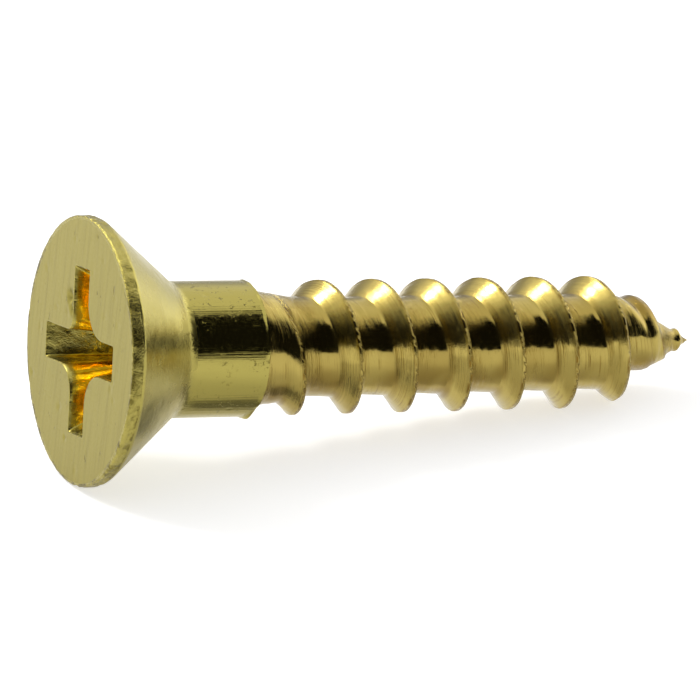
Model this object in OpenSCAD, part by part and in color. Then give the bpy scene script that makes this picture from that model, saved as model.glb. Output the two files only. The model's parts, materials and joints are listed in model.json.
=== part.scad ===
// Flat head wood screw with a cross recess, cut thread and gimlet point, in brass.
// The screw is drawn along its own axis, head face at z = 0 and point at z = screw_l,
// and then laid down as it comes to rest on a table: on the head's rim and on a thread crest.
// Millimetres, +Z up. Origin under the middle of the lying screw, on the table.

/* [Overall] */
// Length from the head's face to the point
screw_l = 19.05; // [16:0.05:32]
// Diameter of the plain shank
shank_d = 3.81; // [3.2:0.01:4.6]

/* [Head] */
// Diameter of the head's rim
head_d = 7.5; // [6.4:0.02:9.2]
// Height of the straight rim between the face and the countersink
rim_h = 0.34; // [0.2:0.02:0.6]
// Rounding of the edge between face and rim
face_edge_r = 0.06; // [0.02:0.01:0.15]
// Included angle of the countersink under the head
countersink_angle = 79; // [74:1:92]
// Fillet where the countersink meets the shank
neck_r = 0.45; // [0.1:0.05:0.8]

/* [Cross recess] */
// Distance across two opposite wings, at the face
recess_w = 4.62; // [3.8:0.02:4.9]
// Distance across two opposite wings, at the foot of their sloping ends
recess_foot_w = 2.29; // [1.6:0.01:2.5]
// Slope of the wings' ends, away from the axis
recess_end_angle = 26.5; // [20:0.5:32]
// Width of a wing at the face
wing_w = 0.98; // [0.7:0.02:1.2]
// Width of a wing at its foot
wing_foot_w = 0.62; // [0.4:0.02:0.7]
// Distance across the flats that take off the corners between wings, at the face
core_w = 2.12; // [1.6:0.02:2.4]
// The same distance at the wings' foot
core_foot_w = 1.1; // [0.8:0.02:1.4]
// Included angle of the cone at the bottom of the recess
recess_floor_angle = 140; // [118:1:160]
// Turn of the recess about the screw's axis
recess_turn = -8.4; // [-45:0.1:45]

/* [Thread] */
// Distance between neighbouring crests, 15 to the inch
pitch = 1.693; // [1.4:0.001:2.1]
// How far the crests lie under the shank's side
crest_under = 0.015; // [0:0.005:0.1]
// Depth of the groove between the crests
thread_depth = 0.53; // [0.4:0.01:0.65]
// How much deeper the groove is where the point begins
core_taper = 0.04; // [0:0.01:0.1]
// Width of the narrow land on top of a crest
crest_w = 0.14; // [0.06:0.01:0.3]
// Slope of the flank that faces the head, away from a square shoulder
head_flank_angle = 40; // [20:1:42]
// Slope of the flank that faces the point
point_flank_angle = 12; // [5:1:35]
// Length of the plain part, from the head's face to the end of the shank
plain_l = 4.92; // [4.4:0.02:7]
// Length of the steep step that the thread cutter leaves at the shank's end
step_l = 0.12; // [0.06:0.02:0.6]
// How far the step falls
step_drop = 0.32; // [0.2:0.02:0.44]
// How far behind the shank's end the first ridge starts
ridge_start_l = 0.87; // [0.5:0.01:1.5]
// Length over which the groove deepens, from the step on
runout_l = 1.7; // [1:0.1:3]
// Turn of the thread about the axis, where 0 has a crest facing down one pitch from the point
thread_turn = 149; // [0:1:359]

/* [Point] */
// Included angle of the cone over the last crests
point_angle = 40; // [30:1:60]
// How far from the point that cone starts
point_l = 3.04; // [2.5:0.02:3.7]
// Included angle of the blunt nose in front of the last crest
nose_angle = 100; // [80:1:120]
// How far the nib stands out in front of the nose's own tip
nib_l = 0.6; // [0.4:0.02:0.8]
// Included angle of the nib over its crest
nib_angle = 65; // [58:1:76]
// Included angle of the nib's core
nib_core_angle = 57; // [46:1:57]
// How much deeper the groove gets as it necks down behind the nib
point_neck_depth = 0.5; // [0.3:0.02:0.65]
// How far from the point the crest is where that starts
point_neck_from = 3.35; // [2.7:0.05:4]
// Length over which it necks down
point_neck_l = 0.8; // [0.5:0.05:1.1]

/* [Hidden] */

// Steps round a turn of the thread, and round an exact circle
turn_steps = 40;
circle_steps = 72;
// Steps of a fillet's arc
arc_steps = 5;
// Distance from the point at which the strip of the thread starts to close up, in pitches
close_pitches = 0.5;
// Part of a turn over which the ridge rises
ridge_start_turns = 0.33;
// Height of the crest's edge and of the fillet's top on the flank, as shares of the ridge
crest_edge_share = 0.94;
root_fillet_share = 0.14;
// Length of the fillet at the root
root_fillet_l = 0.07;
// Overlap that a cut runs past the surface it opens
past = 0.5;
brass = "#c6b25c";

head_r = head_d / 2;
shank_r = shank_d / 2;
crest_r = shank_r - crest_under;
core_r = crest_r - thread_depth;
step_end_r = shank_r - step_drop;
// The thread's solid leaves the shank at this radius, a little outside the step's foot
runout_r = step_end_r + step_drop / 5;
step_end_z = plain_l + step_l;

// ---- head and shank ------------------------------------------------------------------

// The countersink's cone and the shank's side meet here
neck_z = rim_h + (head_r - shank_r) / tan(countersink_angle / 2);
// Half of the turn that the neck's fillet makes
neck_half_turn = countersink_angle / 4;
neck_tangent = neck_r * tan(neck_half_turn);
recess_foot_z = (recess_w - recess_foot_w) / 2 / tan(recess_end_angle);
recess_floor_z = recess_foot_z + recess_foot_w / 2 / tan(recess_floor_angle / 2);

// Points of an arc: centre, radius, first and last angle
function arc(centre, r, from, to) =
    [for (i = [0 : arc_steps]) let (a = from + (to - from) * i / arc_steps)
        centre + r * [cos(a), sin(a)]];

// Half section of head and shank, [radius, z], from the face's middle to the step
blank_outline = concat(
    [[0, 0]],
    arc([head_r - face_edge_r, face_edge_r], face_edge_r, -90, 0),
    [[head_r, rim_h]],
    arc([shank_r + neck_r, neck_z + neck_tangent], neck_r, 180 + countersink_angle / 2, 180),
    [[shank_r, plain_l], [step_end_r, step_end_z], [0, step_end_z]]);

// The seam of the turned surfaces goes to the side that faces up
module head_and_shank()
    rotate(180)
        rotate_extrude($fn = circle_steps)
            polygon(blank_outline);

// A wedge that is straight along X, with its width along Y falling from the face to the foot
module tapered_slab(width, foot_width, length) {
    // The taper runs on past both ends of the cone that it is cut from
    top_z = -2 * past;
    low_z = recess_floor_z + past;
    slope = (width - foot_width) / 2 / recess_foot_z;
    top = width / 2 - slope * top_z;
    low = width / 2 - slope * low_z;
    rotate([90, 0, 90])
        linear_extrude(length, center = true)
            polygon([[-top, top_z], [top, top_z], [low, low_z], [-low, low_z]]);
}

// The cross: two wings and the square core between them, inside a cone with a pointed floor
module recess_cone() {
    end_slope = tan(recess_end_angle);
    rotate_extrude($fn = circle_steps)
        polygon([[0, -past], [recess_w / 2 + past * end_slope, -past],
            [recess_foot_w / 2, recess_foot_z], [0, recess_floor_z]]);
}
module cross_recess() {
    rotate(recess_turn)
        union() {
            for (turn = [0, 90])
                intersection() {
                    recess_cone();
                    rotate(turn)
                        tapered_slab(wing_w, wing_foot_w, 2 * recess_w);
                }
            intersection() {
                recess_cone();
                rotate(45)
                    tapered_slab(core_w, core_foot_w, 2 * recess_w);
                rotate(135)
                    tapered_slab(core_w, core_foot_w, 2 * recess_w);
            }
        }
}

// ---- thread --------------------------------------------------------------------------

// Where the last full crest crosses the side that faces down
last_crest_z = screw_l - pitch * (1 + thread_turn / 360);
// The thread's skin starts a whole number of turns before it, with its first turn in the shank
skin_turns = ceil((last_crest_z - (plain_l - pitch)) / pitch);
thread_start_z = last_crest_z - pitch * skin_turns;
// The strip closes up towards the point from here on, and its last station is as far past the point
close_l = close_pitches * pitch;
last_station = floor((screw_l + close_l - thread_start_z) / pitch * turn_steps);

// One pitch of the thread from crest to crest: [z from the crest, share of the ridge's height]
head_flank_l = thread_depth * tan(head_flank_angle);
point_flank_l = thread_depth * tan(point_flank_angle);
profile = [
    [0, 1],
    [crest_w / 2, crest_edge_share],
    [crest_w / 2 + point_flank_l * (1 - root_fillet_share), root_fillet_share],
    [crest_w / 2 + point_flank_l + root_fillet_l, 0],
    [pitch - crest_w / 2 - head_flank_l - root_fillet_l, 0],
    [pitch - crest_w / 2 - head_flank_l * (1 - root_fillet_share), root_fillet_share],
    [pitch - crest_w / 2, crest_edge_share]];
rows = len(profile);

function clamp(t) = max(0, min(1, t));
function ease(t) = let (c = clamp(t)) c * c * (3 - 2 * c);

// Radius at height z of a cone that closes at tip_z
function cone_r(z, tip_z, angle) = max(0, (tip_z - z) * tan(angle / 2));
// Surface over the crests: a cylinder, a slim cone, a blunt nose and the nib in front of it
function slim_cone_r(z) = crest_r - (z - screw_l + point_l) * tan(point_angle / 2);
function nose_r(z) = min(slim_cone_r(z), cone_r(z, screw_l - nib_l, nose_angle));
function envelope_r(z) = min(crest_r, max(nose_r(z), cone_r(z, screw_l, nib_angle)));

// Share of the way from one height to another
function way(z, from, length) = clamp((z - from) / length);
// Floor of the groove: shallow behind the step, tapering, and necked down behind the nib
function groove_r(z, crest_z) = min(
    cone_r(z, screw_l, nib_core_angle),
    core_r + (runout_r - core_r) * (1 - way(z, step_end_z, runout_l))
        - core_taper * way(z, step_end_z, screw_l - point_neck_from - step_end_z)
        - point_neck_depth * ease((crest_z - screw_l + point_neck_from) / point_neck_l));

// Height of the crest at a station. Near the point it closes up, and never quite gets there.
function station_z(station) =
    let (z = thread_start_z + pitch * station / turn_steps, past_close = z - screw_l + close_l)
    past_close < 0 ? z : screw_l - close_l * exp(-past_close / close_l);
// The ridge rises in the part of a turn after its crest has passed this height
ridge_rise_z = plain_l + ridge_start_l;
function ridge_share(crest_z) = ease((crest_z - ridge_rise_z) / (pitch * ridge_start_turns));

function thread_point(row, station) =
    let (
        own_crest_z = station_z(station),
        next_crest_z = station_z(station + turn_steps),
        z = own_crest_z + profile[row][0] / pitch * (next_crest_z - own_crest_z),
        height = profile[row][1] * ridge_share(row < rows / 2 ? own_crest_z : next_crest_z),
        outer = envelope_r(z),
        r = outer - max(0, outer - groove_r(z, own_crest_z)) * (1 - height),
        a = 360 * station / turn_steps)
    [r * cos(a), r * sin(a), z];

thread_points = [for (station = [0 : last_station], row = [0 : rows - 1]) thread_point(row, station)];
cap_point = len(thread_points);
tip_point = cap_point + 1;
// Number of a point. The row after the last is the next turn's first.
function at(row, station) = row < rows ? station * rows + row : at(row - rows, station + turn_steps);

function wall(row, station) = [
    [at(row, station), at(row + 1, station), at(row + 1, station + 1)],
    [at(row, station), at(row + 1, station + 1), at(row, station + 1)]];

// Thread, core and point as one closed skin that winds round the axis as a helical strip
module thread_and_point() {
    walls = [for (station = [0 : last_station - 1], row = [0 : rows - 1])
        if (row < rows - 1 || station + turn_steps < last_station)
            each wall(row, station)];
    buried_cap = [
        for (station = [0 : turn_steps - 1]) [at(0, station), at(0, station + 1), cap_point],
        for (row = [0 : rows - 1]) [at(row + 1, 0), at(row, 0), cap_point]];
    tip = [
        for (station = [last_station - turn_steps : last_station - 1])
            [at(rows - 1, station + 1), at(rows - 1, station), tip_point],
        for (row = [0 : rows - 2]) [at(row, last_station), at(row + 1, last_station), tip_point],
        [at(rows - 1, last_station - turn_steps), at(0, last_station), tip_point]];
    polyhedron(
        points = concat(thread_points, [[0, 0, thread_start_z + pitch / 2], [0, 0, screw_l]]),
        faces = concat(walls, buried_cap, tip));
}

// ---- how the screw lies --------------------------------------------------------------

// The side at +X turns down. The screw tips about its rim until the first crest touches.
lie_angle = min([for (p = thread_points)
    if (p.z > step_end_z) atan2(head_r - p.x, p.z - rim_h)]);
axis_h = head_r * cos(lie_angle) + rim_h * sin(lie_angle);
face_end_x = -(head_r - face_edge_r) * sin(lie_angle) - face_edge_r * (1 - cos(lie_angle));
tip_end_x = screw_l * cos(lie_angle);

module lay_down()
    translate([-(face_end_x + tip_end_x) / 2, 0, axis_h])
        rotate([0, 90 + lie_angle, 0])
            children();

module screw()
    color(brass)
        lay_down()
            difference() {
                union() {
                    head_and_shank();
                    thread_and_point();
                }
                cross_recess();
            }

screw();
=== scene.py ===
import json
import math
import random

import bmesh
import bpy
from bpy.props import FloatProperty, FloatVectorProperty, IntProperty, PointerProperty
from mathutils import Matrix, Vector, kdtree, noise


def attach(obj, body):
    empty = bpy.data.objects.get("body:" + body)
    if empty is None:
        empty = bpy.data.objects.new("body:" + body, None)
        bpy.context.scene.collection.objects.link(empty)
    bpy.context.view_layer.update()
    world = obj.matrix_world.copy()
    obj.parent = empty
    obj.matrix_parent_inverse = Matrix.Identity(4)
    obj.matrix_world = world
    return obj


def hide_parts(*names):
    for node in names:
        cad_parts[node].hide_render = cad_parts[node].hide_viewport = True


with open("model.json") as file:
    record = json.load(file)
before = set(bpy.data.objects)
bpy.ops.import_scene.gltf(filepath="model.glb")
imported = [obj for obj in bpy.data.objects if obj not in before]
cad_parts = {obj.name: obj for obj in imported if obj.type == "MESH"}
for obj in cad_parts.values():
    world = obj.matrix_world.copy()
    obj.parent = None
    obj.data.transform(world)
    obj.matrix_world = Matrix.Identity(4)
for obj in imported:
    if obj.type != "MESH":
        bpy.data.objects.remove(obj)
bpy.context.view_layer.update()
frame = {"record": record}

bl_info = {
    "name": "Brass Wood Screw",
    "version": (1, 0, 0),
    "blender": (4, 5, 0),
    "location": "3D View > Sidebar > Wood Screw",
    "description": "Builds a flat head brass wood screw with its cross recess, cut thread and "
                   "gimlet point",
    "category": "Add Mesh",
}

MM = 0.001


# ---- settings ------------------------------------------------------------------------

def length(name, description, millimetres):
    return FloatProperty(name=name, description=description, default=millimetres * MM,
                         min=0, unit="LENGTH", precision=5)


def angle(name, description, degrees):
    return FloatProperty(name=name, description=description, default=math.radians(degrees),
                         subtype="ANGLE", unit="ROTATION")


def factor(name, description, value):
    return FloatProperty(name=name, description=description, default=value, min=0, subtype="FACTOR")


def colour(name, description, red, green, blue):
    return FloatVectorProperty(name=name, description=description, default=(red, green, blue),
                               size=3, min=0, max=1, subtype="COLOR")


class HeadSettings(bpy.types.PropertyGroup):
    diameter: length("Diameter", "Across the rim of the head", 7.5)
    rim: length("Rim", "Height of the straight rim", 0.34)
    edge_round: length("Edge rounding", "Rounding between face and rim", 0.06)
    countersink: angle("Countersink", "Included angle of the cone under the head", 79)
    neck_round: length("Neck fillet", "Fillet where the cone meets the shank", 0.45)


class RecessSettings(bpy.types.PropertyGroup):
    width: length("Width", "Across two opposite wings at the face", 4.62)
    foot_width: length("Foot width", "Across two opposite wings at their foot", 2.29)
    end_slope: angle("End slope", "Slope of the wings' ends away from the axis", 26.5)
    wing: length("Wing", "Width of a wing at the face", 0.98)
    wing_foot: length("Wing foot", "Width of a wing at its foot", 0.62)
    core: length("Core", "Across the flats between the wings at the face", 2.12)
    core_foot: length("Core foot", "Across the same flats at the wings' foot", 1.1)
    floor_angle: angle("Floor", "Included angle of the cone at the bottom", 140)
    turn: angle("Turn", "Turn of the recess about the axis", -8.4)
    lip: length("Lip", "Rounding of the edge at the mouth", 0.035)


class ShankSettings(bpy.types.PropertyGroup):
    diameter: length("Diameter", "Across the plain shank", 3.81)
    plain: length("Plain length", "From the face to the end of the plain shank", 4.92)
    step: length("Step", "Length of the steep step at the shank's end", 0.12)
    step_drop: length("Step drop", "How far the step falls", 0.32)
    ridge_start: length("Ridge start", "From the shank's end to where the first ridge rises", 0.87)


class ThreadSettings(bpy.types.PropertyGroup):
    pitch: length("Pitch", "Between neighbouring crests", 1.693)
    crest_under: length("Crest under shank", "How far the crests lie under the shank's side", 0.015)
    depth: length("Depth", "Depth of the groove", 0.53)
    taper: length("Taper", "How much deeper the groove is where the point begins", 0.04)
    crest: length("Crest", "Width of the land on a crest", 0.14)
    head_flank: angle("Head flank", "Slope of the flank that faces the head", 40)
    point_flank: angle("Point flank", "Slope of the flank that faces the point", 12)
    runout: length("Run-out", "Length over which the groove deepens", 1.7)
    turn: angle("Turn", "Turn of the thread about the axis", 149)


class PointSettings(bpy.types.PropertyGroup):
    length: length("Length", "From the screw's face to its point", 19.05)
    cone: angle("Cone", "Included angle over the last crests", 40)
    cone_length: length("Cone length", "How far from the point the cone starts", 3.04)
    nose: angle("Nose", "Included angle of the blunt nose", 100)
    nib: angle("Nib", "Included angle of the nib over its crest", 65)
    nib_core: angle("Nib core", "Included angle of the nib's core", 57)
    nib_length: length("Nib length", "How far the nib stands in front of the nose", 0.6)
    nib_ring: length("Nib ring", "Height of the ring round the nib", 0.09)
    neck_depth: length("Neck depth", "How much deeper the groove gets behind the nib", 0.5)
    neck_from: length("Neck from", "How far from the point that starts", 3.35)
    neck_length: length("Neck length", "Length over which it happens", 0.8)


class WearSettings(bpy.types.PropertyGroup):
    waves: length("Waves", "Depth of the slow waves in turned surfaces", 0.006)
    rim_pits: length("Rim pits", "Depth of the pits along the rim", 0.04)
    burr: length("Burr", "Height of the burr at the shank's end", 0.045)
    chatter: length("Chatter", "Unevenness along the thread's crest", 0.012)
    nicks: IntProperty(name="Nicks", description="Number of small dents in head and shank",
                       default=120, min=0)
    nick_depth: length("Nick depth", "Depth of the deepest dent", 0.02)


class BrassSettings(bpy.types.PropertyGroup):
    plain: colour("Brass", "Colour of the turned surfaces", 0.465, 0.395, 0.10)
    warm: colour("Warm brass", "Colour of the cut thread", 0.51, 0.395, 0.105)
    # Painted reflection: the saturated orange of light bouncing between the recess's walls
    deep: colour("Deep brass", "Colour deep inside the recess", 0.98, 0.74, 0.10)
    # Also the painted shade on the groove's lower side and the painted coppery reflection on top of
    # the last turn
    brown_tarnish_and_painted_light: colour("Tarnish", "Colour of the thin tarnish on the thread", 0.22, 0.13, 0.02)
    # Also the painted shade veiled over the face and kept to the rim's lower side
    olive_tarnish_and_painted_shade: colour("Dark tarnish", "Colour of the tarnish on head and shank", 0.13, 0.10, 0.015)
    face_roughness: factor("Face roughness", "How dull the pressed face is", 0.34)
    cone_roughness: factor("Cone roughness", "How dull the cone under the head is", 0.24)
    shank_roughness: factor("Shank roughness", "How dull the shank and the rim are", 0.13)
    thread_roughness: factor("Thread roughness", "How dull the thread and the recess are", 0.11)


class StageSettings(bpy.types.PropertyGroup):
    white: colour("White", "Colour of the floor", 0.8, 0.8, 0.8)
    floor_glow: factor("Floor glow", "What the floor adds for the camera", 0.6)
    metal_glow: factor("Metal glow", "What the floor adds in metal and glass", 0.33)
    daylight: factor("Daylight", "Strength of the soft light all round", 0.5)
    softbox: factor("Softbox", "What the wide lamp beyond the point adds, where 1 is white", 0.35)
    halo: factor("Halo", "What the wide lamp behind the head adds, where 1 is white", 0.35)
    glare: factor("Glare", "What the smaller lamp in its middle adds, where 1 is white", 0.9)
    lamp: factor("Lamp", "What the smallest lamp in its middle adds, where 1 is white", 16.0)
    glint: factor("Glint", "What the small lamp beyond the point adds, where 1 is white", 5.0)


SETTINGS = {
    "wood_screw_head": HeadSettings,
    "wood_screw_recess": RecessSettings,
    "wood_screw_shank": ShankSettings,
    "wood_screw_thread": ThreadSettings,
    "wood_screw_point": PointSettings,
    "wood_screw_wear": WearSettings,
    "wood_screw_brass": BrassSettings,
    "wood_screw_stage": StageSettings,
}


def settings(part):
    return getattr(bpy.context.scene, "wood_screw_" + part)


# ---- place ---------------------------------------------------------------------------

def mount(name):
    return next(m for m in frame["record"]["mounts"] if m["name"] == name)


def placement():
    """From the screw's own frame, face at zero and point along +Z, to the lying screw."""
    along = Vector(mount("wood_thread")["axis"])
    across = Vector((0, 1, 0))
    down = across.cross(along)
    turn = Matrix((down, across, along)).transposed().to_4x4()
    return Matrix.Translation(Vector(mount("driver_recess")["pos_m"])) @ turn


# ---- small mathematics ---------------------------------------------------------------

def clamp(value):
    return max(0.0, min(1.0, value))


def ease(value):
    value = clamp(value)
    return value * value * (3 - 2 * value)


def mix(a, b, share):
    return a + (b - a) * share


def rough(place, size, seed=0.0):
    """Smooth noise of about -1 to 1 whose lumps are as wide as size."""
    return noise.noise(place / size + Vector((seed, 3.1 * seed, -1.7 * seed)))


def polar(radius, turn, height):
    return Vector((radius * math.cos(turn), radius * math.sin(turn), height))


# ---- recess outline ------------------------------------------------------------------

# Points round the head and the shank
AROUND = 256
QUARTER = AROUND // 4
# Points on each leg and corner of a quarter of the outline, which add up to QUARTER
OUTLINE_COUNTS = (5, 4, 11, 8, 8, 8, 11, 4, 5)
# How many points to either side of a wing's middle belong to the wing's end
WING_END_POINTS = 8
WING_END_ROUND = 0.08 * MM
# How far the knee between two wings is cut back, for someone who looks at the face:
# lower left, upper left, upper right and lower right
KNEE_FLARES = (0.9, 0.4, 1.15, 1.05)
# Rounding of a knee whose flare is 1, as a share of the wing's free length
KNEE_ROUND = 0.3


def rounded_path(corners, radii, counts):
    """Points along a path with rounded corners, counts points to each leg and corner in turn."""
    points = []
    for k in range(len(corners) - 1):
        a, b = corners[k], corners[k + 1]
        way = (b - a).normalized()
        start = a + way * radii[k]
        end = b - way * radii[k + 1]
        legs = counts[2 * k]
        points += [start.lerp(end, i / legs) for i in range(legs)]
        if k + 2 < len(corners):
            out = b + (corners[k + 2] - b).normalized() * radii[k + 1]
            bends = counts[2 * k + 1]
            for i in range(bends):
                t = i / bends
                points.append(end.lerp(b, t).lerp(b.lerp(out, t), t))
    return points


def foot_depth(recess):
    """Depth of the wings' foot, where the floor's cone begins."""
    return (recess.width - recess.foot_width) / 2 / math.tan(recess.end_slope)


def cross_outline(recess, depth, grow):
    """Outline of the cross at a depth, as AROUND points, wider by grow on every side."""
    share = min(1.0, depth / foot_depth(recess))
    reach = mix(recess.width, recess.foot_width, share) / 2 + grow
    half = mix(recess.wing, recess.wing_foot, share) / 2 + grow
    flat = mix(recess.core, recess.core_foot, share) / 2 + grow
    knee = flat * math.sqrt(2) - half
    points = []
    for quarter, flare in enumerate(KNEE_FLARES):
        own_knee = max(half * 1.001, mix(half, knee, flare))
        knee_round = KNEE_ROUND * flare * (reach - own_knee)
        corners = [Vector(c) for c in ((reach, 0), (reach, half), (own_knee, half),
                                       (half, own_knee), (half, reach), (0, reach))]
        radii = [0, WING_END_ROUND, knee_round, knee_round, WING_END_ROUND, 0]
        path = rounded_path(corners, radii, OUTLINE_COUNTS)
        turn = Matrix.Rotation(quarter * math.pi / 2 + recess.turn, 2)
        points += [turn @ p for p in path]
    return points


# ---- head and shank ------------------------------------------------------------------

# The regions of the blank, in the order of the brass's finishes, and last the recess's floor
FACE, RIM, CONE, SHANK, RECESS, RECESS_END, THREAD, RECESS_FLOOR = range(8)
# Rings of the recess's floor, as shares of its outline
FLOOR_RINGS = (0, 0.2, 0.4, 0.6, 0.8, 0.93)
WALL_ROWS = 18
LIP_ROWS = 4
FACE_RINGS = 26
# Share of the step at which the blank ends and the thread takes over
STEP_END = 0.8
# Length before the shank's end where the rows are close together, for the burr
BURR_REACH = 0.2 * MM
# How far to the front of the shank's lowest side the burr has its lump
BURR_LUMP = math.radians(25)
# Larger dents in the face: how far down and to the back, how wide and how deep, in millimetres
DENTS = ((-1.25, 0.95, 0.24, 0.13), (-0.95, 0.76, 0.18, 0.1), (-1.6, 2.75, 0.12, 0.03),
         (1.55, 3.05, 0.13, 0.04), (2.6, 0.35, 0.12, 0.03), (1.9, 0.95, 0.14, 0.04),
         (-2.9, -1.0, 0.1, 0.02), (0.6, -2.6, 0.1, 0.02))


def arc_rows(centre, radius, first, last, steps):
    rows = []
    for i in range(steps + 1):
        a = mix(first, last, i / steps)
        rows.append((centre[0] + radius * math.cos(a), centre[1] + radius * math.sin(a)))
    return rows


def line_rows(start, end, steps):
    return [(mix(start[0], end[0], i / steps), mix(start[1], end[1], i / steps))
            for i in range(1, steps + 1)]


class Row:
    """One row of the blank: its region, and a circle or the recess's outline."""

    def __init__(self, region, radius=0.0, height=0.0, outline=None, share=1.0, blend=0.0):
        self.region, self.radius, self.height = region, radius, height
        self.outline, self.share, self.blend = outline, share, blend


class Blank:
    """The rows of the blank, from the recess's floor over the face to the shank's end."""

    def __init__(self):
        self.head, self.shank, self.wear = settings("head"), settings("shank"), settings("wear")
        self.recess = settings("recess")
        self.rim_r = self.head.diameter / 2
        self.shank_r = self.shank.diameter / 2
        half = self.head.countersink / 2
        neck_z = self.head.rim + (self.rim_r - self.shank_r) / math.tan(half)
        self.neck_end = neck_z + self.head.neck_round * math.tan(half / 2)
        self.end = (self.shank_r - STEP_END * self.shank.step_drop,
                    self.shank.plain + STEP_END * self.shank.step)
        self.rows = self.recess_rows() + self.head_rows() + self.shank_rows()

    def recess_rows(self):
        recess, lip = self.recess, self.recess.lip
        foot = foot_depth(recess)
        self.floor = foot + recess.foot_width / 2 / math.tan(recess.floor_angle / 2)
        rows = [Row(RECESS_FLOOR, outline=cross_outline(recess, foot, 0), share=share)
                for share in FLOOR_RINGS]
        for i in range(WALL_ROWS):
            depth = foot * (1 - i / WALL_ROWS)
            rows.append(Row(RECESS, height=depth, outline=cross_outline(recess, depth, 0)))
        for i in range(1, LIP_ROWS + 1):
            a = math.pi / 2 * i / LIP_ROWS
            rows.append(Row(RECESS, height=lip * (1 - math.sin(a)),
                            outline=cross_outline(recess, 0, lip * (1 - math.cos(a)))))
        return rows

    def head_rows(self):
        head = self.head
        edge = head.edge_round
        mouth = cross_outline(self.recess, 0, self.recess.lip)
        rows = [Row(FACE, radius=self.rim_r - edge, outline=mouth, blend=i / FACE_RINGS)
                for i in range(1, FACE_RINGS)]
        circles = arc_rows((self.rim_r - edge, edge), edge, -math.pi / 2, 0, steps=4)
        # The last row of the rim stands just short of the cone, so that the corner stays crisp
        circles += line_rows((self.rim_r, edge), (self.rim_r, head.rim - 0.03 * MM), steps=6)
        rows += [Row(RIM, radius=r, height=z) for r, z in circles]
        neck = arc_rows((self.shank_r + head.neck_round, self.neck_end), head.neck_round,
                        math.pi + head.countersink / 2, math.pi, steps=9)
        circles = line_rows((self.rim_r, head.rim), neck[0], steps=44)[:-1] + neck
        return rows + [Row(CONE, radius=r, height=z) for r, z in circles]

    def shank_rows(self):
        fine = (self.shank_r, self.shank.plain - BURR_REACH)
        last = (self.shank_r, self.shank.plain)
        circles = line_rows((self.shank_r, self.neck_end), fine, steps=34)
        circles += line_rows(fine, last, steps=9)
        rows = [Row(SHANK, radius=r, height=z) for r, z in circles]
        step = line_rows(last, self.end, steps=4)
        return rows + [Row(THREAD, radius=r, height=z) for r, z in step]

    def number(self, vert):
        """Number of a point along its row, while it is still on a plain cylinder."""
        return round(math.atan2(vert.co.y, vert.co.x) / (2 * math.pi) * AROUND) % AROUND

    def region(self, face, row_layer):
        """Region of a face, where the recess's floor counts with its walls."""
        region = self.rows[max(v[row_layer] for v in face.verts)].region
        if region != RECESS:
            return RECESS if region == RECESS_FLOOR else region
        from_wing = [self.number(v) % QUARTER for v in face.verts]
        at_end = all(k <= WING_END_POINTS or k >= QUARTER - WING_END_POINTS for k in from_wing)
        return RECESS_END if at_end else RECESS

    def place(self, number, k):
        """Place of point k of a row."""
        row = self.rows[number]
        turn = 2 * math.pi * k / AROUND
        if row.outline is None:
            return self.worn(row, polar(row.radius, turn, row.height))
        p = row.outline[k]
        if row.region == RECESS_FLOOR:
            z = self.floor - p.length * row.share / math.tan(self.recess.floor_angle / 2)
            return Vector((p.x * row.share, p.y * row.share, z))
        if row.region == FACE:
            ring = polar(row.radius, turn + self.recess.turn, 0)
            return self.worn(row, Vector((p.x, p.y, 0)).lerp(ring, row.blend))
        return Vector((p.x, p.y, row.height))

    def worn(self, row, p):
        """A point of the outside, moved by waves, pits and the burr."""
        wave = self.wear.waves * (0.5 + 0.5 * rough(p, 1.1 * MM, 2))
        if row.region == FACE:
            return p + Vector((0, 0, wave * min(1, 5 * row.blend * (1 - row.blend))))
        turn = math.atan2(p.y, p.x)
        change = -wave
        if row.region == RIM:
            wide = clamp(1.5 * rough(p, 0.24 * MM, 3) - 0.1)
            small = 0.4 * clamp(2 * rough(p, 0.1 * MM, 6))
            change -= self.wear.rim_pits * (wide + small)
        if row.region in (SHANK, THREAD):
            # The burr is a narrow ragged ring with one lump
            near = math.exp(-((p.z - self.shank.plain + 0.02 * MM) / (0.05 * MM)) ** 2)
            lump = 1.6 * math.exp(-(math.degrees(turn + BURR_LUMP) / 8) ** 2)
            change += self.wear.burr * near * (0.35 + 0.8 * rough(p, 0.35 * MM, 8) + lump)
        return polar(p.xy.length + change, turn, p.z)


# ---- thread --------------------------------------------------------------------------

# Steps of the thread's strip in a turn
TURN_STEPS = 160
# Fillet at the foot of the flank that faces the point
ROOT_FILLET = 0.07 * MM
# Share of a pitch over which the first ridge rises
FIRST_RISE = 0.33
# How far behind the point the nib's ring lies, and how wide it is
NIB_RING_BACK = 0.41 * MM
NIB_RING_WIDTH = 0.1 * MM
# Length before the point over which the unevenness fades
SMOOTH_END = 1 * MM


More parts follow.
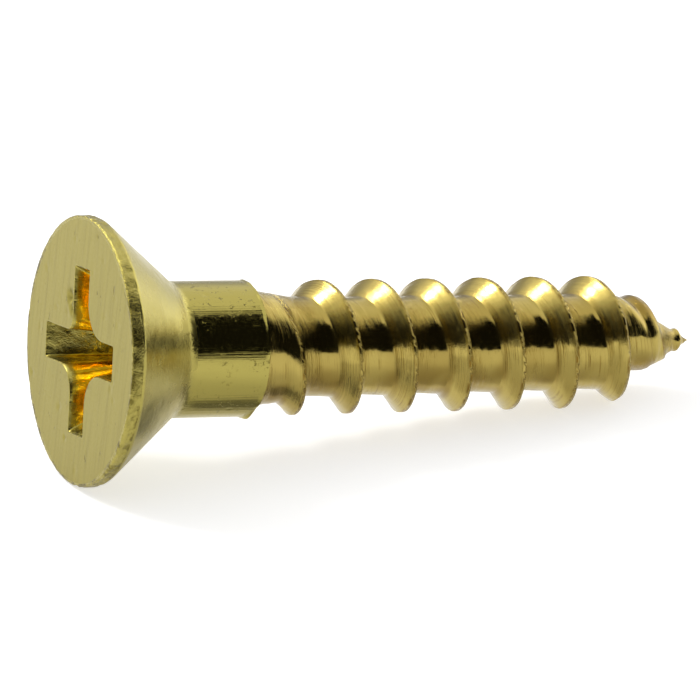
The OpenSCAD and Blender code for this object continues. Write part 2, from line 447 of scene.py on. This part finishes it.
class Thread:
    """The thread's strip, one pitch wide, and how a point of it is placed."""

    def __init__(self, start_r, start_z):
        self.shank, self.point = settings("shank"), settings("point")
        self.sizes = t = settings("thread")
        self.tip = self.point.length
        self.start_r = start_r
        self.crest_r = self.shank.diameter / 2 - t.crest_under
        self.core_r = self.crest_r - t.depth
        self.step_end = self.shank.plain + self.shank.step
        last_crest = self.tip - t.pitch * (1 + t.turn / (2 * math.pi))
        # Stations are counted from where the crest passes the lowest side, so that angles stay
        # true, and the strip starts a little over a turn before it is cut
        first = math.floor((start_z - last_crest) / t.pitch * TURN_STEPS) - TURN_STEPS - 2
        self.first_station = first
        self.first_crest = last_crest + t.pitch * first / TURN_STEPS
        # Over this length before the point the stations crowd together, and nearly reach it
        self.close = t.pitch / 2
        self.stations = int((self.tip + 0.9 * self.close - self.first_crest) / t.pitch * TURN_STEPS)
        self.rows = self.profile()

    def profile(self):
        """(distance from the crest, share of the ridge's height), from crest to crest."""
        t = self.sizes
        land = t.crest / 2
        front = t.depth * math.tan(t.point_flank)
        back = t.depth * math.tan(t.head_flank)
        # Distance, height and steps to the next. The groove's floor leans: from the foot of the
        # steep flank it rises by a tenth of the depth towards the next ridge
        keys = [
            (0, 1.0, 1),
            (0.75 * land, 0.99, 1),
            (land, 0.94, 6),
            (land + 0.86 * front, 0.14, 1),
            (land + 0.97 * front, 0.045, 1),
            (land + front + ROOT_FILLET, 0, 7),
            (t.pitch - land - 0.93 * back, 0.10, 1),
            (t.pitch - land - 0.88 * back, 0.125, 9),
            (t.pitch - land, 0.94, 1),
            (t.pitch - 0.75 * land, 0.99, 1),
            (t.pitch, 1.0, 0),
        ]
        rows = []
        for (d0, h0, steps), (d1, h1, _) in zip(keys, keys[1:]):
            rows += [(mix(d0, d1, i / steps), mix(h0, h1, i / steps)) for i in range(steps)]
        return rows + [(t.pitch, 1.0)]

    def cone(self, z, tip, included):
        return max(0.0, (tip - z) * math.tan(included / 2))

    def envelope(self, z):
        """Radius of the crests, which end over the blunt nose and the nib."""
        p = self.point
        slim = self.crest_r - (z - self.tip + p.cone_length) * math.tan(p.cone / 2)
        nose = min(slim, self.cone(z, self.tip - p.nib_length, p.nose))
        return min(self.crest_r, max(nose, self.cone(z, self.tip, p.nib)))

    def groove(self, z, crest_z):
        """Radius of the groove, which runs out of the step and deepens before the point."""
        t, p = self.sizes, self.point
        neck_z = self.tip - p.neck_from
        out = self.start_r - self.core_r
        run = out * (1 - clamp((z - self.step_end) / t.runout))
        taper = t.taper * clamp((z - self.step_end) / (neck_z - self.step_end))
        neck = p.neck_depth * ease((crest_z - neck_z) / p.neck_length)
        return min(self.cone(z, self.tip, p.nib_core), self.core_r + run - taper - neck)

    def station_z(self, station):
        """Place of the crest at a station, which never quite reaches the point."""
        z = self.first_crest + self.sizes.pitch * station / TURN_STEPS
        past = z - self.tip + self.close
        return z if past < 0 else self.tip - self.close * math.exp(-past / self.close)

    def rise(self, crest_z):
        """How far the ridge has risen, from 0 at its start to 1."""
        past = crest_z - self.shank.plain - self.shank.ridge_start
        return ease(past / (FIRST_RISE * self.sizes.pitch))

    def place(self, row, station, wear):
        """Place of a point of the strip. Each half of the strip rises with its own crest."""
        distance, share = self.rows[row]
        own = self.station_z(station)
        following = self.station_z(station + TURN_STEPS)
        z = own + distance / self.sizes.pitch * (following - own)
        near_own = row < len(self.rows) / 2
        turn = 2 * math.pi * (station + self.first_station) / TURN_STEPS
        height = share * self.rise(own if near_own else following)
        outer = self.envelope(z)
        depth = max(0.0, outer - self.groove(z, own))
        r = outer - depth * (1 - height)
        from_ring = (self.tip - z - NIB_RING_BACK) / NIB_RING_WIDTH
        r += self.point.nib_ring * math.exp(-from_ring ** 2)
        p = polar(r, turn, z)
        # The crest wanders a little, and the cutter leaves faint waves in the groove
        uneven = wear.chatter * (rough(p, 0.5 * MM, 5) + 0.45 * rough(p, 0.18 * MM, 9)) * height
        uneven += 0.2 * wear.chatter * rough(p, 0.3 * MM, 12)
        return polar(max(0.0, r + uneven * clamp((self.tip - z) / SMOOTH_END)), turn, z)


# ---- the piece -----------------------------------------------------------------------

# Gap between the blank and the thread, which a ring of faces bridges
BRIDGE = 0.03 * MM
# Corners steeper than this stay sharp
CREASE = math.radians(38)


def standing_row(bm, heights):
    """A standing row of points joined by edges, each numbered in the layer row."""
    row_layer = bm.verts.layers.int.new("row")
    verts = [bm.verts.new((1 * MM, 0, z)) for z in heights]
    for k, v in enumerate(verts):
        v[row_layer] = k
    edges = [bm.edges.new(pair) for pair in zip(verts, verts[1:])]
    return row_layer, verts + edges


def joined(parts):
    """One bmesh from several, which are freed."""
    whole = bmesh.new()
    for part in parts:
        mesh = bpy.data.meshes.new("part")
        part.to_mesh(mesh)
        part.free()
        whole.from_mesh(mesh)
        bpy.data.meshes.remove(mesh)
    return whole


class WOODSCREW_OT_screw(bpy.types.Operator):
    """Model the whole screw as one closed skin, from the recess's floor to the point"""
    bl_idname = "wood_screw.screw"
    bl_label = "Screw"

    def execute(self, context):
        blank = Blank()
        bm = joined((self.turned(blank), self.wound(blank)))
        rims = [e for e in bm.edges if e.is_boundary]
        bridge = bmesh.ops.bridge_loops(bm, edges=rims)
        for face in bridge["faces"]:
            face.material_index = THREAD
        bmesh.ops.recalc_face_normals(bm, faces=bm.faces)
        self.creases(bm)
        bmesh.ops.transform(bm, matrix=placement(), verts=bm.verts)
        open_edges = sum(not e.is_manifold for e in bm.edges)
        if open_edges:
            raise RuntimeError(f"the screw's skin has {open_edges} open edges")
        mesh = bpy.data.meshes.new("brass_screw")
        for face in bm.faces:
            face.smooth = True
        bm.to_mesh(mesh)
        bm.free()
        for material in brass_materials():
            mesh.materials.append(material)
        piece = bpy.data.objects.new("brass_screw", mesh)
        context.scene.collection.objects.link(piece)
        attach(piece, "root")
        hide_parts("screw")
        return {"FINISHED"}

    def turned(self, blank):
        """Head, recess and shank as one turned wall whose rows then take their places."""
        bm = bmesh.new()
        row_layer, row = standing_row(bm, [k * MM for k in range(len(blank.rows))])
        bmesh.ops.spin(bm, geom=row, cent=(0, 0, 0), axis=(0, 0, 1), dvec=(0, 0, 0),
                       angle=2 * math.pi, steps=AROUND, use_merge=True)
        for face in bm.faces:
            face.material_index = blank.region(face, row_layer)
        for v in bm.verts:
            v.co = blank.place(v[row_layer], blank.number(v))
        bmesh.ops.remove_doubles(bm, verts=bm.verts, dist=1e-4 * MM)
        self.nicks(bm, row_layer, blank)
        return bm

    def nicks(self, bm, row_layer, blank):
        """The larger dents in the face, and small ones here and there in face, cone and shank."""
        wear = settings("wear")
        chance = random.Random(7)
        outside = [v for v in bm.verts if blank.rows[v[row_layer]].region in (FACE, CONE, SHANK)]
        tree = kdtree.KDTree(len(outside))
        for k, v in enumerate(outside):
            tree.insert(v.co, k)
        tree.balance()
        # The normals may point either way here, so a place inside the head tells which way is in
        bm.normal_update()
        inside = Vector((0, 0, 2.5 * MM))
        inward = [-v.normal if v.normal.dot(v.co - inside) > 0 else v.normal.copy()
                  for v in outside]
        dents = [(Vector((x, y, 0)) * MM, size * MM, depth * MM) for x, y, size, depth in DENTS]
        for _ in range(wear.nicks):
            middle = chance.choice(outside).co.copy()
            size = chance.uniform(0.05, 0.16) * MM
            dents.append((middle, size, wear.nick_depth * chance.uniform(0.2, 1) ** 2))
        for middle, size, depth in dents:
            for _, k, distance in tree.find_range(middle, size):
                outside[k].co += inward[k] * depth * (1 - (distance / size) ** 2) ** 2

    def wound(self, blank):
        """The thread as a strip one pitch wide, wound from the shank to the point."""
        end_r, end_z = blank.end
        cut_z = end_z + BRIDGE
        thread = Thread(end_r, cut_z)
        wear = settings("wear")
        pitch = thread.sizes.pitch
        bm = bmesh.new()
        uv_layer = bm.loops.layers.uv.new("wrap")
        heights = [d for d, _ in thread.rows]
        row_layer, row = standing_row(bm, heights)
        bmesh.ops.spin(bm, geom=row, cent=(0, 0, 0), axis=(0, 0, 1),
                       dvec=(0, 0, pitch / TURN_STEPS), angle=2 * math.pi, steps=TURN_STEPS)
        turn = bm.verts[:] + bm.edges[:] + bm.faces[:]
        turns = math.ceil(thread.stations / TURN_STEPS)
        for k in range(1, turns):
            copy = bmesh.ops.duplicate(bm, geom=turn)["geom"]
            copied = [v for v in copy if isinstance(v, bmesh.types.BMVert)]
            bmesh.ops.translate(bm, vec=(0, 0, k * pitch), verts=copied)
        bmesh.ops.remove_doubles(bm, verts=bm.verts, dist=1e-3 * MM)
        station = {v: round((v.co.z - heights[v[row_layer]]) / pitch * TURN_STEPS)
                   for v in bm.verts}
        for face in bm.faces:
            face.material_index = THREAD
            for loop in face.loops:
                along = station[loop.vert] / TURN_STEPS
                loop[uv_layer].uv = (along, loop.vert[row_layer] / (len(heights) - 1))
        for v in bm.verts:
            v.co = thread.place(v[row_layer], station[v], wear)
        # The open end of the strip is drawn together in the point, and its start cut level
        tip = Vector((0, 0, thread.tip))
        end = [v for v in bm.verts if v.is_boundary and v.co.z > thread.tip - 0.5 * MM]
        bmesh.ops.pointmerge(bm, verts=end, merge_co=tip)
        bmesh.ops.bisect_plane(bm, geom=bm.verts[:] + bm.edges[:] + bm.faces[:],
                               dist=1e-5 * MM, plane_co=(0, 0, cut_z), plane_no=(0, 0, 1),
                               clear_inner=True)
        return bm

    def creases(self, bm):
        """Sharp edges at steep corners and all round the flat face."""
        for edge in bm.edges:
            regions = {face.material_index for face in edge.link_faces}
            flat_ends = FACE in regions and len(regions) > 1
            edge.smooth = not flat_ends and edge.calc_face_angle(0) < CREASE


# ---- brass ---------------------------------------------------------------------------

class Nodes:
    """Short calls to build a node tree."""

    def __init__(self, tree):
        self.tree = tree
        tree.nodes.clear()

    def add(self, kind, inputs=None, **values):
        node = self.tree.nodes.new(kind)
        for name, value in values.items():
            setattr(node, name, value)
        for name, value in (inputs or {}).items():
            if isinstance(value, bpy.types.NodeSocket):
                self.tree.links.new(value, node.inputs[name])
            else:
                node.inputs[name].default_value = value
        return node

    def own_frame(self):
        """Millimetres in the screw's own frame."""
        place = placement()
        coordinates = self.add("ShaderNodeTexCoord").outputs["Object"]
        return self.add("ShaderNodeMapping", {
            "Vector": coordinates, "Location": place.translation,
            "Rotation": place.to_euler(), "Scale": (MM, MM, MM)}, vector_type="TEXTURE").outputs[0]

    def split(self, vector):
        """The three parts of a vector. In the screw's own frame they are how far down, how far
        to the back, and how far from the face."""
        return self.add("ShaderNodeSeparateXYZ", {0: vector}).outputs

    def stretched(self, vector, scale):
        return self.add("ShaderNodeMapping", {"Vector": vector, "Scale": scale}).outputs[0]

    def noise(self, vector, scale, detail=3.0, roughness=0.55, distortion=0.0):
        return self.add("ShaderNodeTexNoise", {
            "Vector": vector, "Scale": scale, "Detail": detail, "Roughness": roughness,
            "Distortion": distortion}).outputs["Fac"]

    def between(self, value, low, high, to_low=0.0, to_high=1.0):
        return self.add("ShaderNodeMapRange", {
            "Value": value, "From Min": low, "From Max": high,
            "To Min": to_low, "To Max": to_high}, interpolation_type="SMOOTHSTEP").outputs[0]

    def maths(self, operation, a, b=0.0):
        return self.add("ShaderNodeMath", {0: a, 1: b}, operation=operation).outputs[0]

    def product(self, a, b):
        return self.maths("MULTIPLY", a, b)

    def weighed(self, *parts):
        """Sum of values, each times its weight."""
        total = 0.0
        for value, weight in parts:
            total = self.add("ShaderNodeMath", {0: value, 1: weight, 2: total},
                             operation="MULTIPLY_ADD").outputs[0]
        return total

    def mixed(self, share, a, b):
        return self.add("ShaderNodeMix", {"Factor": share, 6: a, 7: b}, data_type="RGBA").outputs[2]

    def seen_by(self):
        """1 where the camera looks, and 1 where metal or glass does."""
        path = self.add("ShaderNodeLightPath").outputs
        return path["Is Camera Ray"], self.maths("ADD", path["Is Glossy Ray"],
                                                 path["Is Transmission Ray"])

    def white_light(self, strength):
        return self.add("ShaderNodeEmission", {"Color": (1, 1, 1, 1), "Strength": strength})

    def output(self, kind, shader):
        self.tree.links.new(shader.outputs[0], self.add(kind).inputs["Surface"])


def new_material(name):
    material = bpy.data.materials.new(name)
    material.use_nodes = True
    return material, Nodes(material.node_tree)


# Height in the brass's surface for a relief of 1
RELIEF = 0.02 * MM


def brass_material(name, base, tint, roughness, finish):
    """A brass whose finish gives the share of the tint, what it adds to the roughness, and the
    relief."""
    material, n = new_material(name)
    tone, dull, relief = finish(n)
    bump = n.add("ShaderNodeBump", {"Height": relief, "Distance": RELIEF, "Strength": 1.0})
    shader = n.add("ShaderNodeBsdfPrincipled", {
        "Base Color": n.mixed(tone, (*base, 1), (*tint, 1)), "Metallic": 1.0,
        "Roughness": n.maths("ADD", dull, roughness), "Normal": bump.outputs[0]})
    n.output("ShaderNodeOutputMaterial", shader)
    return material


def brass_materials():
    brass = settings("brass")
    plain, warm, deep = tuple(brass.plain), tuple(brass.warm), tuple(brass.deep)
    brown_tarnish_and_painted_light, olive_tarnish_and_painted_shade = tuple(brass.brown_tarnish_and_painted_light), tuple(brass.olive_tarnish_and_painted_shade)

    def face(n):
        """Pressed flat: lightly brushed and speckled with tarnish, and darkened all over by a
        brushed veil of painted shade.
        """
        own = n.own_frame()
        brushed = n.noise(n.stretched(own, (0.35, 6, 6)), 1.0, 4)
        fine = n.noise(own, 12, 4)
        specks = n.between(n.noise(n.stretched(own, (1.4, 3, 3)), 1.0, 4, 0.7), 0.63, 0.68, 0, 0.7)
        # Painted shade: a brushed veil of the dark tint darkens the whole face
        painted_shade_veil = n.between(brushed, 0.4, 0.8, 0.18, 0.38)
        relief = n.weighed((brushed, 0.08), (fine, 0.05), (specks, -0.5))
        return n.maths("MAXIMUM", specks, painted_shade_veil), n.between(fine, 0.3, 0.7, -0.04, 0.05), relief

    def rim(n):
        """Pitted, with patches of tarnish that leave out the top, so that they are also painted
        shade on the rim's lower side.
        """
        own = n.own_frame()
        pits = n.noise(own, 7, 5, 0.7)
        down, _, _ = n.split(own)
        # Painted shade: the patches fade out towards the top, which leaves the lower side of the
        # rim darker
        patches = n.product(n.between(down, -2.8, -1.6),
                            n.between(n.noise(own, 2.2, 5, 0.65), 0.42, 0.6, 0, 0.85))
        return patches, n.between(pits, 0.4, 0.7, -0.04, 0.1), n.weighed((pits, 2.0))

    def cone(n):
        """Turned in fine rings over broad soft waves, and rougher where it meets the shank."""
        own = n.own_frame()
        turned = n.noise(n.stretched(own, (0.6, 0.6, 5)), 1.0, 4)
        broad = n.noise(own, 1.3, 3)
        specks = n.between(n.noise(own, 5, 5, 0.7), 0.64, 0.72, 0, 0.5)
        _, _, from_face = n.split(own)
        neck = n.product(n.between(from_face, 1.9, 2.3), n.noise(own, 7, 4))
        relief = n.weighed((turned, 0.05), (broad, 0.6), (specks, -0.3),
                           (n.noise(own, 11, 4), 0.05), (neck, 0.8))
        return specks, n.between(broad, 0.35, 0.7, -0.04, 0.08), relief

    def shank(n):
        """Drawn lengthwise, with short marks and sunken specks of tarnish."""
        own = n.own_frame()
        drawn = n.noise(n.stretched(own, (10, 10, 0.08)), 1.0, 4, 0.65)
        marks = n.between(n.noise(n.stretched(own, (16, 16, 0.9)), 1.0, 3), 0.66, 0.74)
        specks = n.between(n.noise(own, 6, 5, 0.75), 0.57, 0.66)
        spread = n.between(n.noise(own, 0.9, 2), 0.42, 0.6, 0.15, 0.8)
        tone = n.product(specks, spread)
        relief = n.weighed((drawn, 0.42), (marks, -0.07), (tone, -0.25))
        return tone, n.between(n.noise(own, 9, 4), 0.4, 0.75, -0.02, 0.06), relief

    def recess_wall(n):
        """Bright and golden inside, a painted reflection of light bouncing between the walls, with
        a ragged duller band along the mouth.
        """
        own = n.own_frame()
        streaks = n.noise(n.stretched(own, (5, 5, 1.0)), 1.0, 4, 0.6)
        _, _, from_face = n.split(own)
        ragged = n.weighed((from_face, 1.0), (n.noise(own, 5, 3), 0.35))
        mouth = n.between(ragged, 0.36, 0.48, 1, 0)
        dull = n.weighed((mouth, 0.16), (n.between(streaks, 0.3, 0.7, -0.04, 0.08), 1.0))
        return mouth, dull, n.weighed((streaks, 0.7), (n.noise(own, 1.5, 2), 1.6))

    def recess_end(n):
        """Torn lengthwise at the wings' ends, with patches of tarnish."""
        own = n.own_frame()
        streaks = n.noise(n.stretched(own, (4, 4, 1.6)), 1.2, 5, 0.65, 0.4)
        patches = n.noise(n.stretched(own, (3, 3, 1.2)), 1.0, 4, 0.6)
        return (n.between(patches, 0.40, 0.68, 0, 0.85),
                n.between(streaks, 0.3, 0.7, -0.02, 0.15), n.weighed((streaks, 2.0)))

    def thread(n):
        """Scratched along the cut, with tarnish on the crests, in lines and in the groove, where it
        is partly painted shade, and a painted coppery reflection on top of the last turn.
        """
        wrap = n.add("ShaderNodeUVMap", uv_map="wrap").outputs[0]
        own = n.own_frame()
        down, _, from_face = n.split(own)
        # From 0 on one crest to 1 on the next, towards the point
        _, across, _ = n.split(wrap)
        cut = n.noise(n.stretched(wrap, (2.2, 52, 0)), 1.0, 5, 0.65)
        freshly = n.between(across, 0.40, 0.56, 2.1, 0.34)
        where = n.between(n.noise(n.stretched(wrap, (5, 5, 0)), 1.0, 2), 0.36, 0.58, 0.2, 1.0)
        scratches = n.product(n.product(cut, where), freshly)
        fine = n.noise(own, 8, 4)
        crest = n.between(n.maths("ABSOLUTE", n.maths("SUBTRACT", across, 0.5)), 0.40, 0.49)
        patchy = n.between(n.noise(own, 2.3, 4), 0.38, 0.6)
        lines = n.between(n.noise(n.stretched(wrap, (1.3, 75, 0)), 1.0, 3, 0.6), 0.5, 0.66)
        lines = n.product(lines, n.between(n.noise(own, 1.3, 3), 0.42, 0.58, 0.05, 0.6))
        tone = n.maths("MAXIMUM", n.product(crest, patchy), lines)
        # Tarnish in the groove, partly painted shade: it is darker towards the screw's lower side
        root = n.product(n.between(across, 0.1, 0.16), n.between(across, 0.66, 0.74, 1, 0))
        root = n.product(root, n.between(n.noise(own, 0.5, 2), 0.4, 0.6, 0.08, 0.42))
        root = n.product(root, n.between(down, -0.1, 0.6, 0.8, 1.5))
        tone = n.maths("MAXIMUM", tone, root)
        # Painted reflection: the last turn before the point is coppery on top
        last = n.product(n.between(from_face, 16.8, 17.2), n.between(from_face, 17.6, 18.0, 1, 0))
        painted_copper_reflection = n.product(last, n.between(down, -1.1, -0.5, 0.75, 0))
        tone = n.maths("MAXIMUM", tone, painted_copper_reflection)
        relief = n.weighed((scratches, 1.3), (fine, 0.06), (lines, -0.1))
        return tone, n.between(fine, 0.4, 0.75, -0.02, 0.08), relief

    shiny = brass.shank_roughness
    return [
        brass_material("brass_face", plain, olive_tarnish_and_painted_shade, brass.face_roughness, face),
        brass_material("brass_rim", plain, olive_tarnish_and_painted_shade, shiny, rim),
        brass_material("brass_cone", plain, olive_tarnish_and_painted_shade, brass.cone_roughness, cone),
        brass_material("brass_shank", plain, olive_tarnish_and_painted_shade, shiny, shank),
        # The recess's walls are painted the orange of light bouncing between them, with plain brass
        # at the mouth
        brass_material("brass_recess", deep, plain, brass.thread_roughness, recess_wall),
        brass_material("brass_recess_end", plain, olive_tarnish_and_painted_shade, brass.thread_roughness, recess_end),
        brass_material("brass_thread", warm, brown_tarnish_and_painted_light, brass.thread_roughness, thread),
    ]


# ---- stage ---------------------------------------------------------------------------

def toward(azimuth, elevation):
    """Unit way from the screw to what stands round it, in degrees. Azimuth 0 is the front and
    90 is beyond the point."""
    a, e = math.radians(azimuth), math.radians(elevation)
    return Vector((math.sin(a) * math.cos(e), -math.cos(a) * math.cos(e), math.sin(e)))


SCREEN_DISTANCE = 0.16
# How far the strips lie above the floor, in millimetres
STRIP_LIFT = 0.02
# The camera's lens, and in millimetres its distance and the place that it looks at
CAMERA_LENS = 307.9
CAMERA_DISTANCE = 167.99
CAMERA_AIM = (-1.02, 0, 2.61)


class WOODSCREW_OT_stage(bpy.types.Operator):
    """Set the pale floor, the soft light and the camera"""
    bl_idname = "wood_screw.stage"
    bl_label = "Stage"

    def execute(self, context):
        stage = settings("stage")
        self.world(context.scene, stage)
        self.floor(context.scene, stage)
        self.lamps(context.scene, stage)
        self.camera(context.scene)
        context.scene.view_settings.view_transform = "Standard"
        return {"FINISHED"}

    def world(self, scene, stage):
        """White for camera, metal and glass, and softer for what it lights."""
        world = bpy.data.worlds.new("soft_white")
        world.use_nodes = True
        scene.world = world
        n = Nodes(world.node_tree)
        camera, metal = n.seen_by()
        strength = n.between(n.maths("MAXIMUM", camera, metal), 0, 1, stage.daylight, 1.0)
        light = n.add("ShaderNodeBackground", {"Color": (1, 1, 1, 1), "Strength": strength})
        n.output("ShaderNodeOutputWorld", light)

    def floor(self, scene, stage):
        """A pale floor that takes the soft light, and glows as well for camera and metal."""
        bm = bmesh.new()
        bmesh.ops.create_grid(bm, x_segments=2, y_segments=2, size=1.5)
        material, n = new_material("pale_floor")
        camera, metal = n.seen_by()
        glow = n.maths("ADD", n.product(camera, stage.floor_glow),
                       n.product(metal, stage.metal_glow))
        lit = n.add("ShaderNodeBsdfDiffuse", {"Color": (*stage.white, 1)})
        n.output("ShaderNodeOutputMaterial", n.add("ShaderNodeAddShader", {
            0: lit.outputs[0], 1: n.white_light(glow).outputs[0]}))
        self.staged(scene, "floor", bm, material)

    def staged(self, scene, name, bm, material):
        mesh = bpy.data.meshes.new(name)
        bm.to_mesh(mesh)
        bm.free()
        mesh.materials.append(material)
        item = bpy.data.objects.new(name, mesh)
        scene.collection.objects.link(item)
        return item

    def lamps(self, scene, stage):
        self.area(scene, "softbox", toward(115, 24), stage.softbox, distance=0.21, spread=23)
        self.area(scene, "halo", toward(-140, 50), stage.halo, distance=0.23, spread=28)
        self.area(scene, "glare", toward(-140, 48), stage.glare, distance=0.22, spread=16)
        self.area(scene, "lamp", toward(-138, 45), stage.lamp, distance=0.21, spread=8)
        self.area(scene, "glint", toward(121, 24), stage.glint, distance=0.2, spread=5)
        self.screen(scene, "right_screen", azimuths=(4, 86), elevations=(1, 61),
                    over="azimuth", span=(74, 88), glow=(0.01, 0.8))
        self.screen(scene, "left_screen", azimuths=(-108, 4), elevations=(-2, 54),
                    over="azimuth", span=(-109, -70), glow=(0.9, 0.02))
        self.screen(scene, "side_card", azimuths=(90, 133), elevations=(-2, 27),
                    over="azimuth", span=(108, 130), glow=(1.7, 1.0))
        self.screen(scene, "back_screen", azimuths=(148, 208), elevations=(-2, 30),
                    over="elevation", span=(15, 30), glow=(0.5, 1))
        self.strip(scene, "shadow_strip", along=(-6.4, -5.6, -3.8, -1.0),
                   across=(-2.4, -1.8, -1.15, -0.6), glow=0.2)
        # Painted light: a glowing strip on the floor under and behind the screw, which only the
        # metal sees
        self.strip(scene, "pale_strip", along=(-2.5, -0.5, 8.0, 9.5),
                   across=(-1.3, -0.7, 2.4, 3.4), glow=0.95)

    def area(self, scene, name, way, brightness, distance, spread):
        """A round lamp that takes up spread degrees to each side and looks as bright as stated."""
        radius = distance * math.tan(math.radians(spread))
        data = bpy.data.lights.new(name, "AREA")
        data.shape = "DISK"
        data.size = 2 * radius
        data.energy = brightness * math.pi * math.pi * radius ** 2
        lamp = bpy.data.objects.new(name, data)
        lamp.location = way * distance
        lamp.rotation_euler = way.to_track_quat("Z", "Y").to_euler()
        scene.collection.objects.link(lamp)

    def screen(self, scene, name, azimuths, elevations, over, span, glow):
        """A curved screen, dark or bright, that only metal sees. Its glow goes from one value to
        the other over a span of its azimuth or elevation, all in degrees."""
        bm = bmesh.new()
        steps_up, steps_round = 16, 24
        rise = [mix(*elevations, k / steps_up) for k in range(steps_up + 1)]
        verts = [bm.verts.new(toward(azimuths[0], e) * SCREEN_DISTANCE) for e in rise]
        edges = [bm.edges.new(pair) for pair in zip(verts, verts[1:])]
        bmesh.ops.spin(bm, geom=verts + edges, cent=(0, 0, 0), axis=(0, 0, 1), dvec=(0, 0, 0),
                       angle=math.radians(azimuths[1] - azimuths[0]), steps=steps_round)
        material, n = new_material(name)
        x, y, z = n.split(n.add("ShaderNodeTexCoord").outputs["Object"])
        if over == "azimuth":
            value = n.maths("ARCTAN2", x, n.product(y, -1.0))
        else:
            value = n.maths("ARCSINE", n.maths("DIVIDE", z, SCREEN_DISTANCE))
        strength = n.between(value, math.radians(span[0]), math.radians(span[1]), *glow)
        n.output("ShaderNodeOutputMaterial", n.white_light(strength))
        self.only_in_metal(self.staged(scene, name, bm, material))

    def strip(self, scene, name, along, across, glow):
        """A strip on the floor that only metal sees. Along the screw and across it, it starts,
        is full, wanes and ends at the stated places, in millimetres."""
        bm = bmesh.new()
        bmesh.ops.create_grid(bm, x_segments=1, y_segments=1, size=0.5)
        middle = Vector(((along[0] + along[3]) / 2, (across[0] + across[3]) / 2, STRIP_LIFT)) * MM
        place = Matrix.Translation(middle) @ Matrix.Diagonal(
            ((along[3] - along[0]) * MM, (across[3] - across[0]) * MM, 1, 1))
        bmesh.ops.transform(bm, matrix=place, verts=bm.verts)
        material, n = new_material(name)
        x, y, _ = n.split(n.add("ShaderNodeTexCoord").outputs["Object"])
        shade = 1.0
        for value, (start, full, waning, end) in ((x, along), (y, across)):
            shade = n.product(shade, n.between(value, start * MM, full * MM))
            shade = n.product(shade, n.between(value, waning * MM, end * MM, 1, 0))
        clear = n.add("ShaderNodeBsdfTransparent")
        n.output("ShaderNodeOutputMaterial", n.add("ShaderNodeMixShader", {
            0: shade, 1: clear.outputs[0], 2: n.white_light(glow).outputs[0]}))
        self.only_in_metal(self.staged(scene, name, bm, material))

    def only_in_metal(self, card):
        card.visible_camera = False
        card.visible_shadow = False
        card.visible_diffuse = False

    def camera(self, scene):
        data = bpy.data.cameras.new("camera")
        data.sensor_width = 36
        data.lens = CAMERA_LENS
        data.clip_start = 0.01
        camera = bpy.data.objects.new("camera", data)
        back = toward(-24.68, 19.21)
        camera.location = Vector(CAMERA_AIM) * MM + back * CAMERA_DISTANCE * MM
        camera.rotation_euler = back.to_track_quat("Z", "Y").to_euler()
        scene.collection.objects.link(camera)
        scene.camera = camera


class WOODSCREW_PT_panel(bpy.types.Panel):
    """Lists the steps that build the screw"""
    bl_idname = "WOODSCREW_PT_panel"
    bl_label = "Wood Screw"
    bl_space_type = "VIEW_3D"
    bl_region_type = "UI"
    bl_category = "Wood Screw"

    def draw(self, context):
        for operator in OPERATORS:
            self.layout.operator(operator.bl_idname)
        for name in SETTINGS:
            group = getattr(context.scene, name)
            box = self.layout.box()
            for key in group.bl_rna.properties.keys():
                if key not in ("rna_type", "name"):
                    box.prop(group, key)


OPERATORS = (WOODSCREW_OT_screw, WOODSCREW_OT_stage)
CLASSES = (*SETTINGS.values(), *OPERATORS, WOODSCREW_PT_panel)


def register():
    for cls in CLASSES:
        bpy.utils.register_class(cls)
    for name, cls in SETTINGS.items():
        setattr(bpy.types.Scene, name, PointerProperty(type=cls))


def unregister():
    for name in SETTINGS:
        delattr(bpy.types.Scene, name)
    for cls in reversed(CLASSES):
        bpy.utils.unregister_class(cls)


def main():
    register()
    bpy.ops.wood_screw.stage()
    bpy.ops.wood_screw.screw()


if __name__ == "__main__":
    main()
